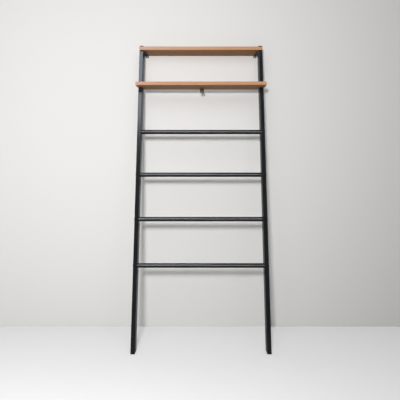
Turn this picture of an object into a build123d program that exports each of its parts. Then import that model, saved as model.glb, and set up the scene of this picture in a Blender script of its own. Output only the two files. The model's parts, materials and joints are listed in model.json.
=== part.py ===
from build123d import *
from math import atan, cos, degrees, radians, sin
import os

# A ladder rack for towels. Two rectangular tube rails lean back towards a wall, four round rungs
# join them, and two wooden boards make shelves at the top.
# Row frame: millimetres, +Z up, X across the rack, the wall is the plane Y = 0 and the front looks
# towards -Y. The origin lies on the wall, midway between the two wall screws.
# Every "height" is measured from the floor.

# --- driving dimensions -------------------------------------------------------------------------

overall_width = 640.0  # over the outer faces of the rails
overall_height = 1495.0  # floor to the top of the rail caps
foot_reach = 372.0  # wall to the front of the rails, at the floor
head_reach = 85.0  # wall to the front of the rails, at the top

rail_width = 20.0
rail_depth = 50.0
rail_wall = 1.5
rail_corner = 2.5

cap_fit = 0.15  # gap all round between a cap's plug and the tube
cap_edge = 1.0
foot_cap_thickness = 5.5
foot_plug_length = 18.0
top_cap_thickness = 2.5
top_plug_length = 12.0

rung_count = 4
rung_diameter = 22.0
rung_wall = 1.5
rung_pitch = 220.0  # along the rail
rung_inset = 2.0  # rail front to the rung's front, square to the rail
top_rung_drop = 233.0  # lower board's underside to the top rung's centre

board_thickness = 18.0
board_round = 2.0
board_gap = 0.5  # between a board and the rails
rail_stand = 8.0  # how far the rails stand above the upper board
board_spacing = 202.0  # from one board's underside to the other's
upper_board_overhang = 0.0  # past each rail's outer face
upper_board_front = 8.0  # how far it stands ahead of the rails, at its underside
lower_board_overhang = 8.0
lower_board_front = 48.0

bolt_diameter = 6.0
bolt_clearance = 0.3  # on radius, where a bolt passes a rail
thread_clearance = 0.05  # on radius, where a bolt sits in an insert
bolt_head_diameter = 13.0
bolt_head_height = 1.8
bolt_head_round = 1.2
bolt_socket = 4.0  # hexagon, across flats
bolt_socket_depth = 2.8
bolt_reach = 16.0  # how far a bolt goes into an insert

rung_insert_length = 22.0
insert_fit = 0.05  # gap all round between an insert and its hole
board_insert_diameter = 9.0
board_insert_length = 22.0
insert_end_space = 0.5  # in the wood, past an insert's end
shelf_bolt_spacing = 24.0

bracket_sheet = 2.5
bracket_fold = 2.0  # outside radius of the folds
bracket_corner = 2.5  # lower corners of the wall flange
bracket_front_width = 9.0
bracket_wall_width = 17.0
bracket_front_setback = 8.0  # bracket starts this far behind the rail front
bracket_drop = 11.5  # how far the flange and the side leaf hang below the board
wall_screw_hole = 4.6
wall_screw_inset = 10.0  # screw centre to the rail's inner face
wall_screw_drop = 7.0  # screw centre below the board

rail_screw_diameter = 4.0
rail_screw_head = 7.0
rail_screw_head_height = 2.2
rail_screw_length = 8.0
rail_screw_spacing = 22.0
rail_screw_drop = 7.0  # below the board

wood_screw_diameter = 3.5
wood_screw_head = 6.5
wood_screw_head_height = 2.2
wood_screw_length = 13.0
screw_fit = 0.1  # gap all round between a screw's shank and its hole
rear_wood_screw = 16.0  # from the wall
front_wood_screw = 40.0  # from the bracket's front end
wood_screw_clear = 1.0  # between a screw's head and the side leaf

tab_width = 21.0
tab_sheet = 1.5
tab_leg = 42.0
tab_hang = 17.0
tab_offset = 5.0  # to the right of the middle
tab_hole = 4.5
tab_hole_height = 6.5  # above the tab's lower end
tab_corner = 2.0
tab_screw_setback = 26.0  # from the board's back edge

# --- worked-out places --------------------------------------------------------------------------

upper_board_top = overall_height - rail_stand
upper_board_height = upper_board_top - board_thickness  # underside
lower_board_height = upper_board_height - board_spacing  # underside
upper_board_width = overall_width + 2 * upper_board_overhang
lower_board_width = overall_width + 2 * lower_board_overhang
wall_screw_height = upper_board_height - wall_screw_drop
slope = (foot_reach - head_reach) / overall_height
rake = degrees(atan(slope))
level_depth = rail_depth / cos(radians(rake))  # depth of a rail cut level
inner_face = overall_width / 2 - rail_width
rail_bore_width = rail_width - 2 * rail_wall
rail_bore_depth = rail_depth - 2 * rail_wall


def level(height):
    """Z of a height above the floor."""
    return height - wall_screw_height


def rail_front(height):
    """Y of the rails' front plane at a height above the floor."""
    return slope * height - foot_reach


def rail_back(height):
    """Y of the rails' back plane at a height above the floor."""
    return rail_front(height) + level_depth


def rail_plane(side):
    """Plane square to a rail, on the rail's centre line at the floor, its X along the rack's X."""
    centre = (side * (inner_face + rail_width / 2), rail_front(0) + level_depth / 2, level(0))
    return Plane(origin=centre, x_dir=(1, 0, 0), z_dir=(0, sin(radians(rake)), cos(radians(rake))))


def rung_height(number):
    """Height of a rung's centre above the floor, with rung 1 lowest."""
    steps_down = rung_count - number
    return lower_board_height - top_rung_drop - steps_down * rung_pitch * cos(radians(rake))


def rung_y(number):
    """Y of a rung's centre."""
    setback = rung_diameter / 2 + rung_inset
    return rail_front(rung_height(number)) + setback / cos(radians(rake))


def side_name(side):
    """Name of a side: -1 is left and 1 is right."""
    return "left" if side < 0 else "right"


def outward(side, y, z, x=overall_width / 2):
    """Plane at distance x from the middle whose normal points out of the rack on that side."""
    return Plane(origin=(side * x, y, z), x_dir=(0, side, 0), z_dir=(side, 0, 0))


os.makedirs("parts", exist_ok=True)
pieces = []


def finish(part, name):
    """Labels a piece and writes its file."""
    part.label = name
    pieces.append(part)
    export_step(part, f"parts/{name}.step")


def raked_bar(side, width, depth, corner, low, high):
    """A solid bar along a rail's centre line, cut level at two heights above the floor."""
    with BuildPart() as bar:
        with BuildSketch(rail_plane(side).offset(-rail_depth)):
            RectangleRounded(width, depth, corner)
        extrude(amount=overall_height / cos(radians(rake)) + 2 * rail_depth)
        split(bisect_by=Plane.XY.offset(level(low)), keep=Keep.TOP)
        split(bisect_by=Plane.XY.offset(level(high)), keep=Keep.BOTTOM)
    return bar.part


def bore_bar(side, gap, low, high):
    """The space inside a rail, less a gap all round, between two heights."""
    corner = max(rail_corner - rail_wall, 0.3)
    return raked_bar(side, rail_bore_width - 2 * gap, rail_bore_depth - 2 * gap, corner, low, high)


# --- places of the fasteners that cross a rail --------------------------------------------------

board_depth = upper_board_front - rail_front(upper_board_height)  # both boards are cut the same
shelf_bolt_height = lower_board_height + board_thickness / 2
lower_board_y = rail_front(lower_board_height) - lower_board_front  # its front face
lower_board_back = lower_board_y + board_depth
shelf_bolt_zone = (rail_front(shelf_bolt_height), min(lower_board_back, rail_back(shelf_bolt_height)))
shelf_bolt_middle = sum(shelf_bolt_zone) / 2
shelf_bolt_ys = [shelf_bolt_middle + step * shelf_bolt_spacing / 2 for step in (-1, 1)]
rung_bolt_places = [(rung_y(n), level(rung_height(n))) for n in range(1, rung_count + 1)]
shelf_bolt_places = [(y, level(shelf_bolt_height)) for y in shelf_bolt_ys]

rail_screw_height = upper_board_height - rail_screw_drop
rail_screw_middle = (rail_front(rail_screw_height) + rail_back(rail_screw_height)) / 2
rail_screw_ys = [rail_screw_middle + step * rail_screw_spacing / 2 for step in (-1, 1)]
rail_screw_places = [(y, level(rail_screw_height)) for y in rail_screw_ys]

# --- rails and their caps -----------------------------------------------------------------------

tube_low = foot_cap_thickness
tube_high = overall_height - top_cap_thickness

for side in (-1, 1):
    tube = raked_bar(side, rail_width, rail_depth, rail_corner, tube_low, tube_high)
    bore = bore_bar(side, 0, 0, overall_height)
    with BuildPart() as rail:
        add(tube)
        add(bore, mode=Mode.SUBTRACT)
        for y, z in rung_bolt_places + shelf_bolt_places:
            with BuildSketch(outward(side, y, z)):
                Circle(bolt_diameter / 2 + bolt_clearance)
            extrude(amount=-rail_width, mode=Mode.SUBTRACT)
        for y, z in rail_screw_places:
            with BuildSketch(outward(side, y, z, inner_face)):
                Circle(rail_screw_diameter / 2 + screw_fit)
            extrude(amount=2 * rail_wall, mode=Mode.SUBTRACT)
    finish(rail.part, f"{side_name(side)}_rail")

    foot_plate = raked_bar(side, rail_width, rail_depth, rail_corner, 0, tube_low)
    foot_plug = bore_bar(side, cap_fit, tube_low, tube_low + foot_plug_length)
    with BuildPart() as foot_cap:
        add(foot_plate)
        fillet(foot_cap.faces().sort_by(Axis.Z)[0].edges(), cap_edge)
        add(foot_plug)
    finish(foot_cap.part, f"{side_name(side)}_foot_cap")

    top_plate = raked_bar(side, rail_width, rail_depth, rail_corner, tube_high, overall_height)
    top_plug = bore_bar(side, cap_fit, tube_high - top_plug_length, tube_high)
    with BuildPart() as top_cap:
        add(top_plate)
        fillet(top_cap.faces().sort_by(Axis.Z)[-1].edges(), cap_edge)
        add(top_plug)
    finish(top_cap.part, f"{side_name(side)}_top_cap")

# --- rungs and the threaded plugs in their ends -------------------------------------------------

for number in range(1, rung_count + 1):
    centre = (0, rung_y(number), level(rung_height(number)))
    rung_middle = Plane(origin=centre, x_dir=(0, 1, 0), z_dir=(1, 0, 0))
    with BuildPart() as rung:
        with BuildSketch(rung_middle):
            Circle(rung_diameter / 2)
            Circle(rung_diameter / 2 - rung_wall, mode=Mode.SUBTRACT)
        extrude(amount=inner_face, both=True)
    finish(rung.part, f"rung_{number}")

    with BuildPart() as inserts:
        for side in (-1, 1):
            with BuildSketch(outward(side, centre[1], centre[2], inner_face)):
                Circle(rung_diameter / 2 - rung_wall - insert_fit)
                Circle(bolt_diameter / 2 + thread_clearance, mode=Mode.SUBTRACT)
            extrude(amount=-rung_insert_length)
    finish(inserts.part, f"rung_{number}_inserts")

# --- lower board: full width ahead of the rails, and between them behind ------------------------

with BuildPart() as lower_shelf:
    with BuildSketch(Plane.XY.offset(level(lower_board_height))):
        with Locations((0, lower_board_y)):
            Rectangle(lower_board_width, board_depth, align=(Align.CENTER, Align.MIN))
    extrude(amount=board_thickness)
    notch_front = rail_front(lower_board_height) - board_gap
    with BuildSketch(Plane.XY.offset(level(lower_board_height))):
        for side in (-1, 1):
            with Locations((side * lower_board_width / 2, notch_front)):
                Rectangle(
                    lower_board_width - 2 * (inner_face - board_gap),
                    board_depth,
                    align=(Align.CENTER, Align.MIN),
                )
    extrude(amount=board_thickness, mode=Mode.SUBTRACT)
    fillet(lower_shelf.edges().filter_by(Axis.X).group_by(Axis.Y)[0], board_round)
    fillet(lower_shelf.edges().filter_by(Axis.X).group_by(Axis.Y)[-1], board_round)
    fillet(lower_shelf.faces().sort_by(Axis.X)[0].edges().filter_by(Axis.Y), board_round)
    fillet(lower_shelf.faces().sort_by(Axis.X)[-1].edges().filter_by(Axis.Y), board_round)
    for side in (-1, 1):
        for y, z in shelf_bolt_places:
            with BuildSketch(outward(side, y, z, inner_face)):
                Circle(board_insert_diameter / 2 + insert_fit)
            hole_depth = board_gap + board_insert_length + insert_end_space
            extrude(amount=-hole_depth, mode=Mode.SUBTRACT)
    with BuildSketch(Plane.XY.offset(level(lower_board_height))):
        with Locations((tab_offset, lower_board_back - tab_screw_setback)):
            Circle(wood_screw_diameter / 2 + screw_fit)
    extrude(amount=wood_screw_length, mode=Mode.SUBTRACT)
finish(lower_shelf.part, "lower_shelf")

with BuildPart() as lower_shelf_inserts:
    for side in (-1, 1):
        for y, z in shelf_bolt_places:
            with BuildSketch(outward(side, y, z, inner_face - board_gap)):
                Circle(board_insert_diameter / 2)
                Circle(bolt_diameter / 2 + thread_clearance, mode=Mode.SUBTRACT)
            extrude(amount=-board_insert_length)
finish(lower_shelf_inserts.part, "lower_shelf_inserts")

# --- bolts through the rails --------------------------------------------------------------------


def bolt_set(side, places):
    """Button-head bolts driven inwards from a rail's outer face."""
    with BuildPart() as bolts:
        for y, z in places:
            with BuildSketch(outward(side, y, z)):
                Circle(bolt_head_diameter / 2)
            extrude(amount=bolt_head_height)
        rims = bolts.faces().filter_by(Axis.X).group_by(Axis.X)[-1 if side > 0 else 0].edges()
        fillet(rims, bolt_head_round)
        for y, z in places:
            with BuildSketch(outward(side, y, z)):
                Circle(bolt_diameter / 2)
            extrude(amount=-(rail_width + bolt_reach))
            with BuildSketch(outward(side, y, z, overall_width / 2 + bolt_head_height)):
                RegularPolygon(bolt_socket / 2, 6, major_radius=False)
            extrude(amount=-bolt_socket_depth, mode=Mode.SUBTRACT)
    return bolts.part


for side in (-1, 1):
    finish(bolt_set(side, rung_bolt_places), f"{side_name(side)}_rung_bolts")
    finish(bolt_set(side, shelf_bolt_places), f"{side_name(side)}_shelf_bolts")

# --- upper board: notched at both ends around the rails -----------------------------------------

bracket_length = -rail_front(upper_board_height) - bracket_front_setback
wood_screw_x = inner_face - bracket_sheet - wood_screw_clear - wood_screw_head / 2
wood_screw_ys = [-rear_wood_screw, front_wood_screw - bracket_length]
wood_screw_places = [(wood_screw_x, y) for y in wood_screw_ys]

with BuildPart() as upper_shelf:
    with BuildSketch(Plane.XY.offset(level(upper_board_height))):
        Rectangle(upper_board_width, board_depth, align=(Align.CENTER, Align.MAX))
    extrude(amount=board_thickness)
    fillet(upper_shelf.edges().filter_by(Axis.X).group_by(Axis.Y)[0], board_round)
    fillet(upper_shelf.edges().filter_by(Axis.Y), board_round)
    notch_front = rail_front(upper_board_height) - board_gap
    notch_back = rail_back(upper_board_top) + board_gap
    with BuildSketch(Plane.XY.offset(level(upper_board_height))):
        for side in (-1, 1):
            with Locations((side * upper_board_width / 2, (notch_front + notch_back) / 2)):
                Rectangle(upper_board_width - 2 * (inner_face - board_gap), notch_back - notch_front)
    extrude(amount=board_thickness, mode=Mode.SUBTRACT)
    with BuildSketch(Plane.XY.offset(level(upper_board_height))):
        with Locations(*[(side * x, y) for side in (-1, 1) for x, y in wood_screw_places]):
            Circle(wood_screw_diameter / 2 + screw_fit)
    extrude(amount=wood_screw_length, mode=Mode.SUBTRACT)
finish(upper_shelf.part, "upper_shelf")

# --- wall brackets ------------------------------------------------------------------------------


def wall_bracket(side):
    """A folded sheet: a tapered top plate, a side leaf on the rail and a flange on the wall."""
    inner = side * inner_face
    top = Plane.XY.offset(level(upper_board_height))
    leaf_front = -bracket_length
    leaf_back = rail_back(upper_board_height - bracket_drop) - bracket_front_setback
    with BuildPart() as bracket:
        with BuildSketch(top):
            with BuildLine():
                Polyline(
                    (inner, 0),
                    (inner - side * bracket_wall_width, 0),
                    (inner - side * bracket_wall_width, -bracket_sheet),
                    (inner - side * bracket_front_width, leaf_front),
                    (inner, leaf_front),
                    close=True,
                )
            make_face()
        extrude(amount=-bracket_sheet)
        with BuildSketch(top):
            with Locations((inner - side * bracket_wall_width / 2, -bracket_sheet / 2)):
                Rectangle(bracket_wall_width, bracket_sheet)
            with Locations((inner - side * bracket_sheet / 2, (leaf_front + leaf_back) / 2)):
                Rectangle(bracket_sheet, leaf_back - leaf_front)
        extrude(amount=-bracket_drop)
        top_edges = bracket.edges().group_by(Axis.Z)[-1]
        wall_fold = top_edges.filter_by(Axis.X).sort_by(Axis.Y)[-1]
        rail_fold = top_edges.filter_by(Axis.Y).sort_by(Axis.X)[-1 if side > 0 else 0]
        fillet([wall_fold, rail_fold], min(bracket_fold, 0.9 * bracket_sheet))
        flange_ends = bracket.edges().filter_by(Axis.Y).group_by(Axis.Z)[0].group_by(Axis.Y)[-1]
        fillet(flange_ends, bracket_corner)
        with BuildSketch(Plane.XZ):
            with Locations((inner - side * wall_screw_inset, 0)):
                Circle(wall_screw_hole / 2)
        extrude(amount=bracket_sheet, mode=Mode.SUBTRACT)
        for y, z in rail_screw_places:
            with BuildSketch(outward(side, y, z, inner_face)):
                Circle(rail_screw_diameter / 2 + screw_fit)
            extrude(amount=-bracket_sheet, mode=Mode.SUBTRACT)
        with BuildSketch(top):
            with Locations(*[(side * x, y) for x, y in wood_screw_places]):
                Circle(wood_screw_diameter / 2 + screw_fit)
        extrude(amount=-bracket_sheet, mode=Mode.SUBTRACT)
    return bracket.part


def pan_screw(plane, head_diameter, head_height, shank_diameter, shank_length):
    """A pan-head screw with its head standing on a plane and its shank going against the normal."""
    with BuildPart() as screw:
        with BuildSketch(plane):
            Circle(head_diameter / 2)
        extrude(amount=head_height)
        face = screw.faces().sort_by(Axis(plane.origin, plane.z_dir))[-1]
        fillet(face.edges(), head_height * 0.6)
        with BuildSketch(plane.offset(head_height)):
            Rectangle(head_diameter * 0.5, head_diameter * 0.14)
            Rectangle(head_diameter * 0.14, head_diameter * 0.5)
        extrude(amount=-head_height * 0.5, mode=Mode.SUBTRACT)
        with BuildSketch(plane):
            Circle(shank_diameter / 2)
        extrude(amount=-shank_length)
    return screw.part


def rail_screw(side, y, z):
    """A screw from the side leaf into the rail."""
    head_seat = Plane(
        origin=(side * (inner_face - bracket_sheet), y, z), x_dir=(0, 1, 0), z_dir=(-side, 0, 0)
    )
    return pan_screw(
        head_seat, rail_screw_head, rail_screw_head_height, rail_screw_diameter, rail_screw_length
    )


def wood_screw(x, y, seat):
    """A wood screw driven upwards from a seat."""
    head_seat = Plane(origin=(x, y, seat), x_dir=(1, 0, 0), z_dir=(0, 0, -1))
    return pan_screw(
        head_seat, wood_screw_head, wood_screw_head_height, wood_screw_diameter, wood_screw_length
    )


bracket_underside = level(upper_board_height) - bracket_sheet

for side in (-1, 1):
    finish(wall_bracket(side), f"{side_name(side)}_wall_bracket")
    rail_screws = Compound(children=[rail_screw(side, y, z) for y, z in rail_screw_places])
    finish(rail_screws, f"{side_name(side)}_bracket_screws")
    board_screws = Compound(
        children=[wood_screw(side * x, y, bracket_underside) for x, y in wood_screw_places]
    )
    finish(board_screws, f"{side_name(side)}_board_screws")

# --- brass tab under the lower board ------------------------------------------------------------

with BuildPart() as brass_tab:
    with BuildSketch(Plane.XY.offset(level(lower_board_height))):
        with Locations((tab_offset, lower_board_back)):
            Rectangle(tab_width, tab_leg, align=(Align.CENTER, Align.MAX))
    extrude(amount=-tab_sheet)
    with BuildSketch(Plane.XY.offset(level(lower_board_height))):
        with Locations((tab_offset, lower_board_back)):
            Rectangle(tab_width, tab_sheet, align=(Align.CENTER, Align.MAX))
    extrude(amount=-tab_hang)
    top_back = brass_tab.edges().filter_by(Axis.X).group_by(Axis.Z)[-1].sort_by(Axis.Y)[-1]
    fillet(top_back, tab_sheet * 0.9)
    fillet(brass_tab.edges().filter_by(Axis.Y).group_by(Axis.Z)[0], tab_corner)
    fillet(brass_tab.edges().filter_by(Axis.Z).group_by(Axis.Y)[0], tab_corner)
    with BuildSketch(Plane.XZ.offset(-lower_board_back)):
        with Locations((tab_offset, level(lower_board_height) - tab_hang + tab_hole_height)):
            Circle(tab_hole / 2)
    extrude(amount=tab_sheet, mode=Mode.SUBTRACT)
    with BuildSketch(Plane.XY.offset(level(lower_board_height))):
        with Locations((tab_offset, lower_board_back - tab_screw_setback)):
            Circle(wood_screw_diameter / 2 + screw_fit)
    extrude(amount=-tab_sheet, mode=Mode.SUBTRACT)
finish(brass_tab.part, "brass_tab")

tab_screw = wood_screw(
    tab_offset, lower_board_back - tab_screw_setback, level(lower_board_height) - tab_sheet
)
finish(tab_screw, "tab_screw")

print(f"{len(pieces)} nodes, rake {rake:.2f} degrees, floor at z = {level(0):.1f}")
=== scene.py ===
"""Looks of a ladder towel rack: coated tube, oiled wooden boards and small fittings."""

from __future__ import annotations

import json
import logging
import math
from collections.abc import Callable, Iterator
from contextlib import contextmanager
from dataclasses import dataclass
from enum import Enum

import bmesh
import bpy
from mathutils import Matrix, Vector

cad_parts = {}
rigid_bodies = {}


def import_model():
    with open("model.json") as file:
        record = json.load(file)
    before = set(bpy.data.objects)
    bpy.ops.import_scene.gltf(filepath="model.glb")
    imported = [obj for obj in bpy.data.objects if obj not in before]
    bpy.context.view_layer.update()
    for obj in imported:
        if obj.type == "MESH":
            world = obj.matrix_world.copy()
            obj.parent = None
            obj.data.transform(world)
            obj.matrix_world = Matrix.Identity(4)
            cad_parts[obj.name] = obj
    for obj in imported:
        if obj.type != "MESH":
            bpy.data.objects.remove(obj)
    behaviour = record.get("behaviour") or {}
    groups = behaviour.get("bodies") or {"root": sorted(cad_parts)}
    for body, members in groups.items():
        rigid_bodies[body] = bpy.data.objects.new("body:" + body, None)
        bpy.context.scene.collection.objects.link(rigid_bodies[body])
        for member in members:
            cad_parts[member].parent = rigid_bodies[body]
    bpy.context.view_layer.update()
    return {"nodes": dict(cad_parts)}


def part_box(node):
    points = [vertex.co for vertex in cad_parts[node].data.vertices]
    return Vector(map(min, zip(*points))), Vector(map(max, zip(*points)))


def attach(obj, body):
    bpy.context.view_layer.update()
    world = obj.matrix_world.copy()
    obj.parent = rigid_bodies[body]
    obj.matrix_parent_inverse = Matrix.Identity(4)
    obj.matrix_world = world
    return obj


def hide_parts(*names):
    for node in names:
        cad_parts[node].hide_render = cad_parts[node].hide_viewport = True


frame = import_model()
BODY = "root"

logging.basicConfig(level=logging.INFO, format="%(message)s")
log = logging.getLogger("towel_rack")

Pair = tuple[float, float]
Triple = tuple[float, float, float]
Colour = Triple
Source = bpy.types.NodeSocket | float | tuple[float, ...]


class Side(Enum):
    """The two sides of the rack, seen from the front."""

    LEFT = "left"
    RIGHT = "right"

    @property
    def sign(self) -> int:
        """Minus one on the left and one on the right."""
        return -1 if self is Side.LEFT else 1


# --- workbench: steps in edit mode ------------------------------------------------------------

MeshTest = Callable[[Vector, Vector], bool]
PARALLEL = 0.999  # the least dot product of two unit vectors that count as parallel
NEARLY_PARALLEL = 0.9
QUARTER_TURN = math.radians(90)
HOLE_SIDES = 32
SHARP_ANGLE = math.radians(32)
FLAT_FACE_WEIGHT = 50


class Axis(Enum):
    """An axis of the rack's frame that tubes, rods and holes lie along."""

    X = 0
    Z = 2

    @property
    def turn(self) -> Triple:
        """The turn that lays an upright cylinder along this axis."""
        return (0.0, QUARTER_TURN, 0.0) if self is Axis.X else (0.0, 0.0, 0.0)


def start_bar(name: str, size: Vector, centre: Vector, lean: float = 0.0) -> bpy.types.Object:
    """Adds a block at its size and place.

    Args:
        name: The piece's name.
        size: Its size along its own X, Y and Z.
        centre: Its middle.
        lean: Its turn about X, in radians.

    Returns:
        The block, with its place in its mesh.
    """
    bpy.ops.object.select_all(action="DESELECT")
    turn = (lean, 0.0, 0.0)
    bpy.ops.mesh.primitive_cube_add(size=1.0, location=centre, rotation=turn, scale=size)
    return settle(name)


def start_rod(
    name: str, radius: float, length: float, centre: Vector, axis: Axis, sides: int
) -> bpy.types.Object:
    """Adds a round rod at its size and place.

    Args:
        name: The piece's name.
        radius: Its radius.
        length: Its length.
        centre: Its middle.
        axis: The axis that it lies along.
        sides: How many sides its circle has.

    Returns:
        The rod, with its place in its mesh.
    """
    bpy.ops.object.select_all(action="DESELECT")
    bpy.ops.mesh.primitive_cylinder_add(
        vertices=sides, radius=radius, depth=length, location=centre, rotation=axis.turn
    )
    return settle(name)


def settle(name: str) -> bpy.types.Object:
    """Names the new object and moves its place into its mesh.

    Args:
        name: The object's name.

    Returns:
        The object.
    """
    piece = bpy.context.object
    piece.name = name
    piece.data.name = name
    bpy.ops.object.transform_apply(location=True, rotation=True, scale=True)
    return piece


@contextmanager
def editing(piece: bpy.types.Object, kind: str = "FACE") -> Iterator[None]:
    """Works on one piece in edit mode.

    Args:
        piece: The piece.
        kind: What gets selected: VERT, EDGE or FACE.
    """
    bpy.ops.object.select_all(action="DESELECT")
    piece.select_set(True)
    bpy.context.view_layer.objects.active = piece
    bpy.ops.object.mode_set(mode="EDIT")
    bpy.ops.mesh.select_mode(type=kind)
    yield
    bpy.ops.object.mode_set(mode="OBJECT")


def pick_edges(piece: bpy.types.Object, test: MeshTest) -> None:
    """Selects the edges whose middle and direction pass a test.

    Args:
        piece: The piece in edit mode.
        test: Gets an edge's middle and its unit direction.
    """
    bpy.ops.mesh.select_all(action="DESELECT")
    mesh = bmesh.from_edit_mesh(piece.data)
    for edge in mesh.edges:
        first, last = (corner.co for corner in edge.verts)
        if test((first + last) / 2, (last - first).normalized()):
            edge.select_set(True)
    bmesh.update_edit_mesh(piece.data)


def pick_faces(piece: bpy.types.Object, test: MeshTest) -> None:
    """Selects the faces whose middle and normal pass a test.

    Args:
        piece: The piece in edit mode.
        test: Gets a face's middle and its normal.
    """
    bpy.ops.mesh.select_all(action="DESELECT")
    mesh = bmesh.from_edit_mesh(piece.data)
    mesh.normal_update()
    for face in mesh.faces:
        if test(face.calc_center_median(), face.normal):
            face.select_set(True)
    bmesh.update_edit_mesh(piece.data)


def cut_level(piece: bpy.types.Object, height: float, keep_above: bool) -> None:
    """Cuts a piece level and closes the cut.

    Args:
        piece: The piece.
        height: The height of the cut.
        keep_above: Whether what is above the cut stays.
    """
    with editing(piece):
        bpy.ops.mesh.select_all(action="SELECT")
        bpy.ops.mesh.bisect(
            plane_co=(0.0, 0.0, height),
            plane_no=(0.0, 0.0, 1.0),
            use_fill=True,
            clear_inner=keep_above,
            clear_outer=not keep_above,
        )


def bore_through(piece: bpy.types.Object, axis: Axis, wall: float) -> None:
    """Turns a bar into a tube, open at both ends.

    Args:
        piece: The bar.
        axis: The axis that its end faces look along.
        wall: The tube's wall.
    """
    with editing(piece):
        pick_faces(piece, lambda middle, normal: abs(normal[axis.value]) > PARALLEL)
        bpy.ops.mesh.inset(thickness=wall)
        bpy.ops.mesh.bridge_edge_loops()
        bpy.ops.mesh.select_all(action="SELECT")
        bpy.ops.mesh.normals_make_consistent(inside=False)


def apply_modifier(piece: bpy.types.Object, kind: str, **settings: object) -> None:
    """Adds a modifier and applies it.

    Args:
        piece: The piece.
        kind: The modifier's type.
        settings: Its settings.
    """
    modifier = piece.modifiers.new(kind.title(), kind)
    for name, value in settings.items():
        setattr(modifier, name, value)
    bpy.ops.object.select_all(action="DESELECT")
    piece.select_set(True)
    bpy.context.view_layer.objects.active = piece
    bpy.ops.object.modifier_apply(modifier=modifier.name)


def cut_away(piece: bpy.types.Object, cutters: list[bpy.types.Object]) -> None:
    """Cuts shapes out of a piece and removes the shapes.

    Args:
        piece: The piece.
        cutters: The shapes.
    """
    for cutter in cutters:
        apply_modifier(piece, "BOOLEAN", operation="DIFFERENCE", solver="EXACT", object=cutter)
        bpy.data.objects.remove(cutter, do_unlink=True)


def drill(
    piece: bpy.types.Object, centres: list[Vector], axis: Axis, radius: float, length: float
) -> None:
    """Drills round holes.

    Args:
        piece: The piece.
        centres: The middles of the holes.
        axis: The axis that they lie along.
        radius: Their radius.
        length: Their length.
    """
    drills = [start_rod("drill", radius, length, centre, axis, HOLE_SIDES) for centre in centres]
    cut_away(piece, drills)


def smooth(piece: bpy.types.Object) -> None:
    """Smooths a piece's shading, but not across its sharp edges, and keeps its large faces flat."""
    bpy.ops.object.select_all(action="DESELECT")
    piece.select_set(True)
    bpy.context.view_layer.objects.active = piece
    bpy.ops.object.shade_smooth_by_angle(angle=SHARP_ANGLE)
    apply_modifier(
        piece, "WEIGHTED_NORMAL", mode="FACE_AREA", weight=FLAT_FACE_WEIGHT, keep_sharp=True
    )


def hand_over(piece: bpy.types.Object, node: str, material: bpy.types.Material) -> None:
    """Puts a finished piece in the place of a CAD node.

    Args:
        piece: The piece.
        node: The node.
        material: Its material.
    """
    piece.data.materials.clear()
    piece.data.materials.append(material)
    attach(piece, BODY)
    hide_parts(node)
    log.info("%s: %d faces, %s", piece.name, len(piece.data.polygons), material.name)


def box_of(node: str) -> tuple[Vector, Vector]:
    """Lowest and highest corner of a CAD node."""
    low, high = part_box(node)
    return Vector(low), Vector(high)


# --- shader helpers ---------------------------------------------------------------------------


def add_node(tree: bpy.types.NodeTree, kind: str, **settings: object) -> bpy.types.Node:
    """Adds a shader node.

    Args:
        tree: The tree that gets the node.
        kind: The node's type name, without its ShaderNode prefix.
        settings: Attributes of the node, such as operation.

    Returns:
        The new node.
    """
    node = tree.nodes.new("ShaderNode" + kind)
    for name, value in settings.items():
        setattr(node, name, value)
    return node


def feed(tree: bpy.types.NodeTree, socket: bpy.types.NodeSocket, source: Source) -> None:
    """Links a socket to another, or sets its value.

    Args:
        tree: The tree that holds both.
        socket: The input to feed.
        source: An output socket, or a plain value.
    """
    if isinstance(source, bpy.types.NodeSocket):
        tree.links.new(source, socket)
    else:
        socket.default_value = source


def math_node(
    tree: bpy.types.NodeTree, operation: str, *values: Source, clamp: bool = False
) -> bpy.types.NodeSocket:
    """Adds a Math node and returns its output.

    Args:
        tree: The tree that gets the node.
        operation: The node's operation.
        values: Its inputs, as sockets or numbers.
        clamp: Whether the result is kept between 0 and 1.

    Returns:
        The node's output.
    """
    node = add_node(tree, "Math", operation=operation, use_clamp=clamp)
    for socket, value in zip(node.inputs, values):
        feed(tree, socket, value)
    return node.outputs[0]


def stretch(
    tree: bpy.types.NodeTree, vector: Source, scale: Triple, location: Triple = (0.0, 0.0, 0.0)
) -> bpy.types.NodeSocket:
    """Adds a Mapping node that scales a vector.

    Args:
        tree: The tree that gets the node.
        vector: The coordinates to scale.
        scale: The scale along X, Y and Z.
        location: The shift after scaling.

    Returns:
        The scaled vector.
    """
    node = add_node(tree, "Mapping")
    feed(tree, node.inputs["Vector"], vector)
    feed(tree, node.inputs["Location"], location)
    feed(tree, node.inputs["Scale"], scale)
    return node.outputs[0]


def noise(
    tree: bpy.types.NodeTree, vector: Source, scale: Source, detail: float, rough: float = 0.5
) -> bpy.types.Node:
    """Adds a Noise Texture node.

    Args:
        tree: The tree that gets the node.
        vector: Its coordinates.
        scale: Cells per metre.
        detail: Number of octaves.
        rough: Strength of the finer octaves.

    Returns:
        The node.
    """
    node = add_node(tree, "TexNoise")
    feed(tree, node.inputs["Vector"], vector)
    feed(tree, node.inputs["Scale"], scale)
    node.inputs["Detail"].default_value = detail
    node.inputs["Roughness"].default_value = rough
    return node


def remap(
    tree: bpy.types.NodeTree, value: Source, given: Pair, result: Pair = (0.0, 1.0)
) -> bpy.types.NodeSocket:
    """Adds a smooth, clamped Map Range node.

    Args:
        tree: The tree that gets the node.
        value: The value to map.
        given: The lowest and highest value that change the result.
        result: The results at those two values.

    Returns:
        The mapped value.
    """
    node = add_node(tree, "MapRange", interpolation_type="SMOOTHSTEP")
    for socket, item in zip(node.inputs, (value, *given, *result)):
        feed(tree, socket, item)
    return node.outputs[0]


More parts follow.
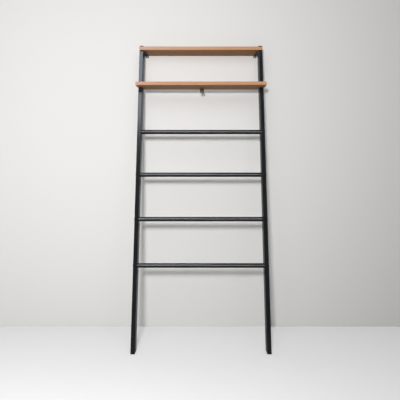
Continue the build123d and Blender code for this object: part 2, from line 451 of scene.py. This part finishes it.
def mix_colour(
    tree: bpy.types.NodeTree, factor: Source, first: Source, second: Source
) -> bpy.types.NodeSocket:
    """Adds a colour Mix node, whose colour sockets come after those for numbers and vectors.

    Args:
        tree: The tree that gets the node.
        factor: How much of the second colour shows.
        first: The first colour.
        second: The second colour.

    Returns:
        The mixed colour.
    """
    node = add_node(tree, "Mix", data_type="RGBA")
    for socket, source in (("Factor_Float", factor), ("A_Color", first), ("B_Color", second)):
        feed(tree, next(item for item in node.inputs if item.identifier == socket), source)
    return next(item for item in node.outputs if item.identifier == "Result_Color")


def rgba(colour: Colour) -> tuple[float, float, float, float]:
    """A colour with full alpha."""
    return (*colour, 1.0)


class ShaderGroup:
    """A shader node group with named inputs and outputs, built once for several finishes."""

    def __init__(self, name: str, inputs: dict[str, Source], outputs: dict[str, str]) -> None:
        """Makes the group's sockets.

        Args:
            name: The group's name.
            inputs: Input names, each with its default: a number, a colour or a vector.
            outputs: Output names, each with its socket type.
        """
        self.tree = bpy.data.node_groups.new(name, "ShaderNodeTree")
        for label, default in inputs.items():
            kind = self.socket_kind(default)
            socket = self.tree.interface.new_socket(label, in_out="INPUT", socket_type=kind)
            socket.default_value = default
        for label, kind in outputs.items():
            self.tree.interface.new_socket(label, in_out="OUTPUT", socket_type=kind)
        self.source = self.tree.nodes.new("NodeGroupInput")
        self.sink = self.tree.nodes.new("NodeGroupOutput")

    @staticmethod
    def socket_kind(default: Source) -> str:
        """Socket type that holds a default value."""
        if isinstance(default, (int, float)):
            return "NodeSocketFloat"
        return "NodeSocketColor" if len(default) == 4 else "NodeSocketVector"

    def give(self, **values: Source) -> None:
        """Feeds the group's outputs, whose spaces are written as underscores."""
        for name, value in values.items():
            feed(self.tree, self.sink.inputs[name.replace("_", " ")], value)

    def place(self, material: bpy.types.Material, **values: Source) -> bpy.types.Node:
        """Puts the group in a material.

        Args:
            material: The material that uses it.
            values: Input values, with spaces in their names written as underscores.

        Returns:
            The group's node there.
        """
        node = add_node(material.node_tree, "Group", node_tree=self.tree)
        for name, value in values.items():
            feed(material.node_tree, node.inputs[name.replace("_", " ")], value)
        return node


@dataclass(frozen=True)
class SpeckleTexture:
    """Fine sprayed or moulded texture with soft marks of handling.

    Scales are in cells per metre. Ranges are the part of a noise that changes the result.
    """

    smudge_scale: float = 9.0
    smudge_range: Pair = (0.35, 0.75)
    rub_stretch: Triple = (1.0, 1.0, 0.18)
    rub_scale: float = 60.0
    rub_range: Pair = (0.3, 0.7)
    rub_share: float = 0.35
    tone_range: Pair = (0.3, 0.7)

    def build(self) -> ShaderGroup:
        """Makes the group.

        Returns:
            The group, whose height is for a bump and whose roughness change is added.
        """
        group = ShaderGroup(
            "fine_speckle",
            {"Vector": (0.0, 0.0, 0.0), "Grain": 700.0, "Handling": 0.5},
            {
                "Height": "NodeSocketFloat",
                "Roughness Change": "NodeSocketFloat",
                "Tone": "NodeSocketFloat",
            },
        )
        tree, given = group.tree, group.source.outputs
        peel = noise(tree, given["Vector"], given["Grain"], detail=2.0)
        smudge = noise(tree, given["Vector"], self.smudge_scale, detail=4.0, rough=0.6)
        streaked = stretch(tree, given["Vector"], self.rub_stretch)
        rub = noise(tree, streaked, self.rub_scale, detail=3.0)
        marks = remap(tree, smudge.outputs[0], self.smudge_range, (-1.0, 1.0))
        rubbed = remap(tree, rub.outputs[0], self.rub_range, (-self.rub_share, self.rub_share))
        both = math_node(tree, "ADD", marks, rubbed)
        group.give(
            Height=peel.outputs[0],
            Roughness_Change=math_node(tree, "MULTIPLY", both, given["Handling"]),
            Tone=remap(tree, smudge.outputs[0], self.tone_range),
        )
        return group


@dataclass(frozen=True)
class TimberFigure:
    """Solid timber sawn along X: annual rings round a heart, fibres, pores and changes of tone.

    Stretches are in cells per metre along X, Y and Z. Ranges are the part of a noise that changes
    the result. Shares say how far each part of the figure takes the colour to the late wood's or
    the pores'.
    """

    wander_stretch: Triple = (1.0, 7.0, 7.0)
    wander_scale: float = 1.6
    wander_reach: Triple = (0.0, 0.022, 0.022)
    ring_distortion: float = 0.6
    ring_detail: float = 2.0
    ring_detail_scale: float = 1.2
    late_range: Pair = (0.35, 1.0)
    late_share: float = 0.5
    fibre_stretch: Triple = (5.0, 240.0, 240.0)
    fibre_range: Pair = (0.3, 0.7)
    fibre_share: float = 0.26
    fibre_height: float = 0.35
    tone_stretch: Triple = (1.1, 16.0, 16.0)
    tone_range: Pair = (0.32, 0.68)
    tone_share: float = 0.38
    pore_stretch: Triple = (26.0, 1500.0, 1500.0)
    pore_range: Pair = (0.6, 0.72)
    pore_share: float = 0.55

    def rings(self, group: ShaderGroup) -> bpy.types.NodeSocket:
        """Annual rings that wander along the board.

        Args:
            group: The group that gets them.

        Returns:
            A value that is 1 in late wood and 0 in early wood.
        """
        tree, given = group.tree, group.source.outputs
        along = stretch(tree, given["Vector"], self.wander_stretch)
        wander = noise(tree, along, self.wander_scale, detail=3.0)
        offset = add_node(tree, "VectorMath", operation="MULTIPLY_ADD")
        for socket, source in zip(
            offset.inputs, (wander.outputs["Color"], self.wander_reach, given["Vector"])
        ):
            feed(tree, socket, source)
        waves = add_node(
            tree, "TexWave", wave_type="RINGS", rings_direction="X", wave_profile="SAW"
        )
        feed(tree, waves.inputs["Vector"], offset.outputs[0])
        feed(tree, waves.inputs["Scale"], given["Ring Scale"])
        waves.inputs["Distortion"].default_value = self.ring_distortion
        waves.inputs["Detail"].default_value = self.ring_detail
        waves.inputs["Detail Scale"].default_value = self.ring_detail_scale
        return remap(tree, waves.outputs["Fac"], self.late_range)

    def strand(
        self, group: ShaderGroup, scale: Triple, span: Pair, detail: float, rough: float = 0.5
    ) -> bpy.types.NodeSocket:
        """Streaks along the wood.

        Args:
            group: The group that gets them.
            scale: Their stretch.
            span: Their range.
            detail: Number of octaves.
            rough: Strength of the finer octaves.

        Returns:
            A value from 0 to 1.
        """
        streaks = stretch(group.tree, group.source.outputs["Vector"], scale)
        grain = noise(group.tree, streaks, scale=1.0, detail=detail, rough=rough)
        return remap(group.tree, grain.outputs[0], span)

    def build(self) -> ShaderGroup:
        """Makes the group.

        Returns:
            The group, whose pattern runs through the wood, so that board ends show end grain.
        """
        group = ShaderGroup(
            "solid_timber",
            {
                "Vector": (0.0, 0.0, 0.0),
                "Early Wood": (0.7, 0.4, 0.2, 1.0),
                "Late Wood": (0.4, 0.2, 0.1, 1.0),
                "Pore": (0.1, 0.05, 0.03, 1.0),
                "Ring Scale": 70.0,
            },
            {"Color": "NodeSocketColor", "Height": "NodeSocketFloat", "Pores": "NodeSocketFloat"},
        )
        tree, given = group.tree, group.source.outputs
        late = self.rings(group)
        fibres = self.strand(group, self.fibre_stretch, self.fibre_range, detail=4.0, rough=0.65)
        tone = self.strand(group, self.tone_stretch, self.tone_range, detail=3.0)
        toned = math_node(tree, "MULTIPLY", tone, self.tone_share)
        share = math_node(tree, "MULTIPLY_ADD", late, self.late_share, toned)
        share = math_node(tree, "MULTIPLY_ADD", fibres, self.fibre_share, share, clamp=True)
        body = mix_colour(tree, share, given["Early Wood"], given["Late Wood"])
        pores = self.strand(group, self.pore_stretch, self.pore_range, detail=2.0)
        dark = math_node(tree, "MULTIPLY", pores, self.pore_share)
        raised = math_node(tree, "MULTIPLY", fibres, self.fibre_height)
        group.give(
            Color=mix_colour(tree, dark, body, given["Pore"]),
            Height=math_node(tree, "SUBTRACT", raised, pores),
            Pores=pores,
        )
        return group


# --- finishes ---------------------------------------------------------------------------------


class Finish:
    """A surface finish that can be made into a material."""

    name: str
    bump_strength: float
    bump_depth: float

    def new_material(self) -> tuple[bpy.types.Material, bpy.types.Node, bpy.types.NodeSocket]:
        """An empty material with a Principled shader.

        Returns:
            The material, its shader node and its object coordinates.
        """
        material = bpy.data.materials.new(self.name)
        material.use_nodes = True
        tree = material.node_tree
        shader = tree.nodes["Principled BSDF"]
        place = add_node(tree, "TexCoord").outputs["Object"]
        return material, shader, place

    def bump(self, material: bpy.types.Material, height: bpy.types.NodeSocket) -> None:
        """Gives a material a bump of the finish's strength and depth.

        Args:
            material: The material.
            height: The bump's height, in shares of its depth.
        """
        tree = material.node_tree
        node = add_node(tree, "Bump")
        node.inputs["Strength"].default_value = self.bump_strength
        node.inputs["Distance"].default_value = self.bump_depth
        feed(tree, node.inputs["Height"], height)
        feed(tree, tree.nodes["Principled BSDF"].inputs["Normal"], node.outputs[0])


@dataclass(frozen=True)
class SpeckledFinish(Finish):
    """Powder coat, moulded plastic or plated metal: one colour with a fine texture."""

    name: str
    colour: Colour
    worn_colour: Colour
    roughness: float
    metallic: float = 0.0
    grain: float = 700.0
    handling: float = 0.03
    bump_strength: float = 0.5
    bump_depth: float = 0.00002

    def build(self, speckle: ShaderGroup) -> bpy.types.Material:
        """Makes the material.

        Args:
            speckle: The group for its fine texture.

        Returns:
            The material.
        """
        material, shader, place = self.new_material()
        tree = material.node_tree
        texture = speckle.place(material, Vector=place, Grain=self.grain, Handling=self.handling)
        tone = texture.outputs["Tone"]
        colour = mix_colour(tree, tone, rgba(self.colour), rgba(self.worn_colour))
        feed(tree, shader.inputs["Base Color"], colour)
        change = texture.outputs["Roughness Change"]
        rough = math_node(tree, "ADD", change, self.roughness, clamp=True)
        feed(tree, shader.inputs["Roughness"], rough)
        shader.inputs["Metallic"].default_value = self.metallic
        self.bump(material, texture.outputs["Height"])
        return material


@dataclass(frozen=True)
class TimberFinish(Finish):
    """Oiled solid timber, with its own place in the log for each board."""

    name: str
    heart: Triple
    early_wood: Colour = (0.67, 0.36, 0.175)
    late_wood: Colour = (0.47, 0.215, 0.102)
    pore: Colour = (0.20, 0.09, 0.05)
    ring_scale: float = 62.0
    roughness: float = 0.5
    pore_roughness: float = 0.25
    specular: float = 0.25
    oil: float = 0.1
    oil_roughness: float = 0.2
    bump_strength: float = 0.45
    bump_depth: float = 0.0002

    def build(self, timber: ShaderGroup) -> bpy.types.Material:
        """Makes the material.

        Args:
            timber: The group for its figure.

        Returns:
            The material.
        """
        material, shader, place = self.new_material()
        tree = material.node_tree
        in_log = stretch(tree, place, scale=(1.0, 1.0, 1.0), location=self.heart)
        wood = timber.place(
            material,
            Vector=in_log,
            Early_Wood=rgba(self.early_wood),
            Late_Wood=rgba(self.late_wood),
            Pore=rgba(self.pore),
            Ring_Scale=self.ring_scale,
        )
        feed(tree, shader.inputs["Base Color"], wood.outputs["Color"])
        pores = wood.outputs["Pores"]
        rough = math_node(tree, "MULTIPLY_ADD", pores, self.pore_roughness, self.roughness)
        feed(tree, shader.inputs["Roughness"], rough)
        shader.inputs["Specular IOR Level"].default_value = self.specular
        shader.inputs["Coat Weight"].default_value = self.oil
        shader.inputs["Coat Roughness"].default_value = self.oil_roughness
        self.bump(material, wood.outputs["Height"])
        return material


def paint(node: str, material: bpy.types.Material) -> None:
    """Gives a CAD node its material.

    Args:
        node: The node's name.
        material: Its material.
    """
    piece = frame["nodes"][node]
    piece.data.materials.clear()
    piece.data.materials.append(material)
    log.info("%s: %s", node, material.name)


# --- sub-assemblies ---------------------------------------------------------------------------


@dataclass(frozen=True)
class Lean:
    """How the rails lean: their front plane rises from a low point at a steady slope."""

    low: Vector
    high: Vector
    depth: float

    @property
    def slope(self) -> float:
        """How far the rails go back for each metre of height."""
        reach, rise = self.high.y - self.low.y, self.high.z - self.low.z
        root = math.sqrt(rise**2 + reach**2 - self.depth**2)
        return (reach * rise - self.depth * root) / (rise**2 - self.depth**2)

    @property
    def angle(self) -> float:
        """The rake, in radians."""
        return math.atan(self.slope)

    def front(self, height: float) -> float:
        """Y of the rails' front plane at a height."""
        return self.low.y + self.slope * (height - self.low.z)

    def back(self, height: float) -> float:
        """Y of the rails' back plane at a height."""
        return self.front(height) + self.depth / math.cos(self.angle)

    def middle(self, height: float) -> float:
        """Y of the rails' centre line at a height."""
        return (self.front(height) + self.back(height)) / 2


@dataclass
class TubeFrame:
    """The two rails with their caps, and the rungs.

    Holes and heads are given by their radius. An edge on a rung's end belongs to its outer rim
    when it is further from the axis than rung_rim times the radius.
    """

    rung_count: int = 4
    rail_depth: float = 0.050
    rail_wall: float = 0.0015
    rail_corner: float = 0.0025
    corner_steps: int = 5
    rung_wall: float = 0.0015
    rung_sides: int = 72
    rung_rim: float = 0.97
    rung_end_ease: float = 0.0003
    rung_end_steps: int = 2
    bolt_hole: float = 0.0033
    bolt_head: float = 0.0065
    screw_hole: float = 0.0021
    screw_head: float = 0.0035
    coat: SpeckledFinish = SpeckledFinish(
        "black_powder_coat", (0.0075, 0.0085, 0.0098), (0.010, 0.0112, 0.0128), roughness=0.22
    )
    rubber: SpeckledFinish = SpeckledFinish(
        "black_foot_rubber",
        (0.012, 0.012, 0.013),
        (0.018, 0.018, 0.019),
        roughness=0.7,
        grain=1600.0,
    )
    plastic: SpeckledFinish = SpeckledFinish(
        "black_cap_plastic",
        (0.014, 0.015, 0.017),
        (0.02, 0.021, 0.023),
        roughness=0.5,
        grain=1400.0,
    )

    def lean(self) -> Lean:
        """The rails' lean."""
        return Lean(*box_of("left_rail"), self.rail_depth)

    def build_rail(self, side: Side) -> bpy.types.Object:
        """Makes a rail: a bar with rounded corners, cut level, bored through and drilled.

        Args:
            side: Its side.

        Returns:
            The rail.
        """
        low, high = box_of(f"{side.value}_rail")
        lean, width = self.lean(), high.x - low.x
        height = (low.z + high.z) / 2
        centre = Vector(((low.x + high.x) / 2, lean.middle(height), height))
        length = (high.z - low.z) / math.cos(lean.angle) + 2 * self.rail_depth
        size = Vector((width, self.rail_depth, length))
        rail = start_bar(f"{side.value}_rail_tube", size, centre, -lean.angle)
        along = Vector((0.0, math.sin(lean.angle), math.cos(lean.angle)))
        with editing(rail, "EDGE"):
            pick_edges(rail, lambda middle, way: abs(way.dot(along)) > PARALLEL)
            bpy.ops.mesh.bevel(offset=self.rail_corner, segments=self.corner_steps, affect="EDGES")
        cut_level(rail, low.z, keep_above=True)
        cut_level(rail, high.z, keep_above=False)
        bore_through(rail, Axis.Z, self.rail_wall)
        drill(rail, self.bolt_places(side, centre.x), Axis.X, self.bolt_hole, 2 * width)
        inner = centre.x - side.sign * width / 2
        drill(rail, self.screw_places(side, inner), Axis.X, self.screw_hole, 4 * self.rail_wall)
        smooth(rail)
        return rail

    def bolt_places(self, side: Side, x: float) -> list[Vector]:
        """Where bolts cross a rail.

        Args:
            side: The rail's side.
            x: The rail's middle.

        Returns:
            The middles of the bolt holes.
        """
        places = []
        for number in range(1, self.rung_count + 1):
            low, high = box_of(f"rung_{number}")
            places.append(Vector((x, (low.y + high.y) / 2, (low.z + high.z) / 2)))
        low, high = box_of(f"{side.value}_shelf_bolts")
        ys = (low.y + self.bolt_head, high.y - self.bolt_head)
        return places + [Vector((x, y, (low.z + high.z) / 2)) for y in ys]

    def screw_places(self, side: Side, x: float) -> list[Vector]:
        """Where the bracket's screws enter a rail.

        Args:
            side: The rail's side.
            x: The rail's inner face.

        Returns:
            The middles of the screw holes.
        """
        low, high = box_of(f"{side.value}_bracket_screws")
        ys = (low.y + self.screw_head, high.y - self.screw_head)
        return [Vector((x, y, (low.z + high.z) / 2)) for y in ys]

    def build_rung(self, number: int) -> bpy.types.Object:
        """Makes a rung: a rod bored through, with eased ends.

        Args:
            number: Its number, from the bottom.

        Returns:
            The rung.
        """
        low, high = box_of(f"rung_{number}")
        radius, centre = (high.z - low.z) / 2, (low + high) / 2
        name = f"rung_{number}_tube"
        rung = start_rod(name, radius, high.x - low.x, centre, Axis.X, self.rung_sides)
        bore_through(rung, Axis.X, self.rung_wall)

        def on_rim(middle: Vector, way: Vector) -> bool:
            """Whether an edge lies on an outer rim."""
            off_axis = Vector((middle - centre).yz).length
            return abs(way.x) < 1 - PARALLEL and off_axis > radius * self.rung_rim

        with editing(rung, "EDGE"):
            pick_edges(rung, on_rim)
            bpy.ops.mesh.bevel(
                offset=self.rung_end_ease, segments=self.rung_end_steps, affect="EDGES"
            )
        smooth(rung)
        return rung

    def build(self, speckle: ShaderGroup) -> None:
        """Makes the rails and rungs, and gives them and the caps their finishes."""
        coat = self.coat.build(speckle)
        rubber = self.rubber.build(speckle)
        plastic = self.plastic.build(speckle)
        for side in Side:
            hand_over(self.build_rail(side), f"{side.value}_rail", coat)
            paint(f"{side.value}_foot_cap", rubber)
            paint(f"{side.value}_top_cap", plastic)
        for number in range(1, self.rung_count + 1):
            hand_over(self.build_rung(number), f"rung_{number}", coat)


@dataclass
class Shelves:
    """The two wooden boards, notched around the rails.

    Holes and heads are given by their radius. The notches' cutters reach beyond the boards, and
    every cut edge gets a small arris.
    """

    lean: Lean
    edge_round: float = 0.002
    round_steps: int = 4
    notch_gap: float = 0.0005
    arris: float = 0.0004
    arris_steps: int = 2
    arris_angle: float = 60.0
    insert_hole: float = 0.00455
    insert_radius: float = 0.0045
    insert_hole_depth: float = 0.023
    screw_hole: float = 0.00185
    screw_head: float = 0.00325
    screw_hole_depth: float = 0.013
    beyond: float = 0.02
    upper: TimberFinish = TimberFinish("upper_board_timber", heart=(0.0, 0.085, 0.045))
    lower: TimberFinish = TimberFinish("lower_board_timber", heart=(0.37, 0.03, 0.262))

    @property
    def rail_inner(self) -> float:
        """Distance from the middle to the rails' inner faces."""
        return box_of("right_rail")[0].x

    def notch(self, side: Side, low: Vector, high: Vector, back: float) -> bpy.types.Object:
        """The shape to cut out of a board for a rail.

        Args:
            side: The rail's side.
            low: The board's lowest corner.
            high: The board's highest corner.
            back: Y of the notch's back.

        Returns:
            The shape.
        """
        front = self.lean.front(low.z) - self.notch_gap
        inner, outer = self.rail_inner - self.notch_gap, high.x + self.beyond
        size = Vector((outer - inner, back - front, high.z - low.z + 2 * self.beyond))
        x = side.sign * (inner + outer) / 2
        centre = Vector((x, (front + back) / 2, (low.z + high.z) / 2))
        return start_bar("notch", size, centre)

    def blank(self, name: str, node: str, round_back: bool) -> bpy.types.Object:
        """A board with rounded edges, before it is notched.

        Args:
            name: The board's name.
            node: Its CAD node.
            round_back: Whether its back edges are rounded too.

        Returns:
            The board.
        """
        low, high = box_of(node)
        centre = (low + high) / 2
        board = start_bar(name, high - low, centre)

        def rounded(middle: Vector, way: Vector) -> bool:
            """Whether an edge of the ends, the front or a free back is rounded."""
            if abs(way.y) > NEARLY_PARALLEL:
                return True
            return abs(way.x) > NEARLY_PARALLEL and (round_back or middle.y < centre.y)

        with editing(board, "EDGE"):
            pick_edges(board, rounded)
            bpy.ops.mesh.bevel(offset=self.edge_round, segments=self.round_steps, affect="EDGES")
        return board

    def build_upper(self) -> bpy.types.Object:
        """Makes the upper board, which wraps around the rails."""
        low, high = box_of("upper_shelf")
        board = self.blank("upper_board", "upper_shelf", round_back=False)
        back = self.lean.back(high.z) + self.notch_gap
        cut_away(board, [self.notch(side, low, high, back) for side in Side])
        for side in Side:
            first, last = box_of(f"{side.value}_board_screws")
            x = (first.x + last.x) / 2
            ys = (first.y + self.screw_head, last.y - self.screw_head)
            centres = [Vector((x, y, low.z)) for y in ys]
            drill(board, centres, Axis.Z, self.screw_hole, 2 * self.screw_hole_depth)
        return self.ease(board)

    def build_lower(self) -> bpy.types.Object:
        """Makes the lower board, which stands ahead of the rails and goes between them."""
        low, high = box_of("lower_shelf")
        board = self.blank("lower_board", "lower_shelf", round_back=True)
        cut_away(board, [self.notch(side, low, high, high.y + self.beyond) for side in Side])
        first, last = box_of("lower_shelf_inserts")
        ys = (first.y + self.insert_radius, last.y - self.insert_radius)
        for side in Side:
            centres = [Vector((side.sign * self.rail_inner, y, (first.z + last.z) / 2)) for y in ys]
            drill(board, centres, Axis.X, self.insert_hole, 2 * self.insert_hole_depth)
        first, last = box_of("tab_screw")
        centre = Vector(((first.x + last.x) / 2, (first.y + last.y) / 2, low.z))
        drill(board, [centre], Axis.Z, self.screw_hole, 2 * self.screw_hole_depth)
        return self.ease(board)

    def ease(self, board: bpy.types.Object) -> bpy.types.Object:
        """Takes the sharpness off a board's cut edges."""
        apply_modifier(
            board,
            "BEVEL",
            width=self.arris,
            segments=self.arris_steps,
            limit_method="ANGLE",
            angle_limit=math.radians(self.arris_angle),
        )
        smooth(board)
        return board

    def build(self, timber: ShaderGroup) -> None:
        """Makes both boards, each from its own timber."""
        hand_over(self.build_upper(), "upper_shelf", self.upper.build(timber))
        hand_over(self.build_lower(), "lower_shelf", self.lower.build(timber))


@dataclass
class Fittings:
    """Brackets, bolts, screws, threaded inserts and the brass tab."""

    bracket: SpeckledFinish = SpeckledFinish(
        "dark_bracket_coat", (0.060, 0.063, 0.067), (0.075, 0.078, 0.082), roughness=0.4
    )
    black_screw: SpeckledFinish = SpeckledFinish(
        "black_oxide", (0.02, 0.02, 0.022), (0.035, 0.035, 0.037), roughness=0.4, metallic=0.8
    )
    plated: SpeckledFinish = SpeckledFinish(
        "zinc_plate", (0.56, 0.56, 0.55), (0.45, 0.46, 0.47), roughness=0.32, metallic=1.0
    )
    brass: SpeckledFinish = SpeckledFinish(
        "aged_brass",
        (0.20, 0.15, 0.055),
        (0.12, 0.09, 0.035),
        roughness=0.42,
        metallic=0.6,
        handling=0.12,
    )

    def build(self, speckle: ShaderGroup, rung_count: int) -> None:
        """Gives every fitting its finish.

        Args:
            speckle: The group for fine texture.
            rung_count: How many rungs have inserts.
        """
        bracket = self.bracket.build(speckle)
        black = self.black_screw.build(speckle)
        plated = self.plated.build(speckle)
        brass = self.brass.build(speckle)
        for side in Side:
            paint(f"{side.value}_wall_bracket", bracket)
            for kind in ("rung_bolts", "shelf_bolts", "bracket_screws", "board_screws"):
                paint(f"{side.value}_{kind}", black)
        for number in range(1, rung_count + 1):
            paint(f"rung_{number}_inserts", plated)
        paint("lower_shelf_inserts", plated)
        paint("brass_tab", brass)
        paint("tab_screw", brass)


@dataclass(frozen=True)
class Lamp:
    """A rectangular light, placed and aimed by heights above the floor.

    A lamp lights matt surfaces and isn't mirrored. A panel does the opposite: it only shows as a
    highlight in glossy surfaces, and can be kept for the pieces whose names start in some way.
    """

    name: str
    place: Triple
    aim: Triple
    size: Pair
    power: float
    colour: Colour
    panel: bool = False
    only: tuple[str, ...] = ()

    def build(self, floor_z: float) -> None:
        """Adds the light.

        Args:
            floor_z: The floor's height.
        """
        data = bpy.data.lights.new(self.name, "AREA")
        data.shape = "RECTANGLE"
        data.size, data.size_y = self.size
        data.energy = self.power
        data.color = self.colour
        data.use_shadow = not self.panel
        light = bpy.data.objects.new(self.name, data)
        bpy.context.scene.collection.objects.link(light)
        floor = Vector((0.0, 0.0, floor_z))
        place, aim = Vector(self.place) + floor, Vector(self.aim) + floor
        light.location = place
        light.rotation_euler = (aim - place).to_track_quat("-Z", "Y").to_euler()
        light.visible_camera = False
        light.visible_glossy = self.panel
        light.visible_diffuse = not self.panel
        if self.only:
            light.light_linking.receiver_collection = self.receivers()

    def receivers(self) -> bpy.types.Collection:
        """The set of pieces that the light is kept for."""
        chosen = bpy.data.collections.new(f"{self.name}_pieces")
        for piece in bpy.context.scene.objects:
            if piece.type == "MESH" and piece.name.startswith(self.only):
                chosen.objects.link(piece)
        return chosen


@dataclass
class Studio:
    """The pale floor and wall, the lights and the camera. None of it is part of the object."""

    floor_z: float
    wall_width: float = 9.0
    wall_height: float = 3.4
    floor_depth: float = 9.0
    wall_colour: Colour = (0.80, 0.795, 0.785)
    floor_colour: Colour = (0.90, 0.90, 0.91)
    plaster_roughness: float = 0.85
    plaster_specular: float = 0.2
    bounce: float = 0.4
    wall_glow: float = 0.03
    floor_glow: float = 0.27
    air_colour: Colour = (0.95, 0.975, 1.0)
    air_strength: float = 0.12
    eye_height: float = 0.7525
    eye_distance: float = 2.225
    lens: float = 36.9
    sensor_width: float = 36.0
    shift: Pair = (-0.0025, -0.03)
    lamps: tuple[Lamp, ...] = (
        Lamp(
            "key",
            place=(-0.24, -2.8, 1.2),
            aim=(-2.2, 0.0, 0.8),
            size=(0.38, 0.26),
            power=63.0,
            colour=(1.0, 0.99, 0.975),
        ),
        Lamp(
            "high_fill",
            place=(0.0, -2.6, 2.1),
            aim=(0.0, 0.0, 0.6),
            size=(2.6, 1.6),
            power=22.0,
            colour=(1.0, 0.995, 0.985),
        ),
        Lamp(
            "left_window",
            place=(-0.78, -2.1, 2.89),
            aim=(-0.3, -0.1, 1.3),
            size=(1.7, 1.2),
            power=40.0,
            colour=(0.80, 0.88, 1.0),
            panel=True,
        ),
        Lamp(
            "rung_strip",
            place=(0.0, -3.3, 1.5),
            aim=(0.0, -0.2, 0.8),
            size=(2.0, 0.3),
            power=70.0,
            colour=(0.93, 0.97, 1.0),
            panel=True,
            only=("rung_",),
        ),
        Lamp(
            "board_glint",
            place=(-0.83, -2.2, 1.98),
            aim=(-0.3, 0.0, 1.4),
            size=(0.4, 0.9),
            power=48.0,
            colour=(0.35, 0.58, 1.0),
            panel=True,
            only=("upper_board", "lower_board"),
        ),
    )

    def sheet(self, name: str, size: Pair, centre: Vector, upright: bool) -> bpy.types.Object:
        """Adds a flat sheet for the floor or the wall.

        Args:
            name: The sheet's name.
            size: Its width and its depth or height.
            centre: Its middle.
            upright: Whether it stands, facing the front.

        Returns:
            The sheet.
        """
        turn = (QUARTER_TURN if upright else 0.0, 0.0, 0.0)
        bpy.ops.mesh.primitive_plane_add(size=1.0, location=centre, rotation=turn)
        sheet = bpy.context.object
        sheet.name = name
        sheet.scale = (*size, 1.0)
        bpy.ops.object.transform_apply(location=True, rotation=True, scale=True)
        return sheet

    def plaster(
        self, name: str, colour: Colour, glow: float, see_through_back: bool
    ) -> bpy.types.Material:
        """A pale matt material.

        Args:
            name: Its name.
            colour: Its colour.
            glow: How much it is lifted where the camera sees it.
            see_through_back: Whether the sheet can be seen through from behind.

        Returns:
            The material.
        """
        material = bpy.data.materials.new(name)
        material.use_nodes = True
        tree = material.node_tree
        shader = tree.nodes["Principled BSDF"]
        seen = add_node(tree, "LightPath").outputs["Is Camera Ray"]
        bounced = tuple(self.bounce * channel for channel in colour)
        base = mix_colour(tree, seen, rgba(bounced), rgba(colour))
        feed(tree, shader.inputs["Base Color"], base)
        shader.inputs["Roughness"].default_value = self.plaster_roughness
        shader.inputs["Specular IOR Level"].default_value = self.plaster_specular
        shader.inputs["Emission Color"].default_value = rgba(colour)
        feed(tree, shader.inputs["Emission Strength"], math_node(tree, "MULTIPLY", seen, glow))
        if see_through_back:
            clear = add_node(tree, "BsdfTransparent")
            behind = add_node(tree, "NewGeometry").outputs["Backfacing"]
            choose = add_node(tree, "MixShader")
            for socket, source in zip(choose.inputs, (behind, shader.outputs[0], clear.outputs[0])):
                feed(tree, socket, source)
            feed(tree, tree.nodes["Material Output"].inputs["Surface"], choose.outputs[0])
        return material

    def build_room(self) -> None:
        """Adds the floor and the wall."""
        size = (self.wall_width, self.floor_depth)
        centre = Vector((0.0, -self.floor_depth / 2, self.floor_z))
        floor = self.sheet("floor", size, centre, upright=False)
        finish = self.plaster(
            "pale_floor", self.floor_colour, self.floor_glow, see_through_back=False
        )
        floor.data.materials.append(finish)
        size = (self.wall_width, self.wall_height)
        centre = Vector((0.0, 0.0, self.floor_z + self.wall_height / 2))
        wall = self.sheet("wall", size, centre, upright=True)
        finish = self.plaster("pale_wall", self.wall_colour, self.wall_glow, see_through_back=True)
        wall.data.materials.append(finish)

    def build_lights(self) -> None:
        """Adds the air and the lights, which are kept for pieces that are already there."""
        world = bpy.data.worlds.new("studio_air")
        world.use_nodes = True
        air = world.node_tree.nodes["Background"]
        air.inputs["Color"].default_value = rgba(self.air_colour)
        air.inputs["Strength"].default_value = self.air_strength
        bpy.context.scene.world = world
        for lamp in self.lamps:
            lamp.build(self.floor_z)

    def build_camera(self) -> None:
        """Adds the camera and sets how colours are shown."""
        data = bpy.data.cameras.new("camera")
        data.lens = self.lens
        data.sensor_width = self.sensor_width
        data.shift_x, data.shift_y = self.shift
        camera = bpy.data.objects.new("camera", data)
        camera.location = (0.0, -self.eye_distance, self.floor_z + self.eye_height)
        camera.rotation_euler = (QUARTER_TURN, 0.0, 0.0)
        bpy.context.scene.collection.objects.link(camera)
        bpy.context.scene.camera = camera
        bpy.context.scene.view_settings.view_transform = "Standard"


def main() -> None:
    """Builds and dresses the rack, and sets up the studio."""
    speckle = SpeckleTexture().build()
    timber = TimberFigure().build()
    tubes = TubeFrame()
    tubes.build(speckle)
    Shelves(tubes.lean()).build(timber)
    Fittings().build(speckle, tubes.rung_count)
    studio = Studio(floor_z=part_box("left_foot_cap")[0].z)
    studio.build_room()
    studio.build_lights()
    studio.build_camera()


if __name__ == "__main__":
    main()
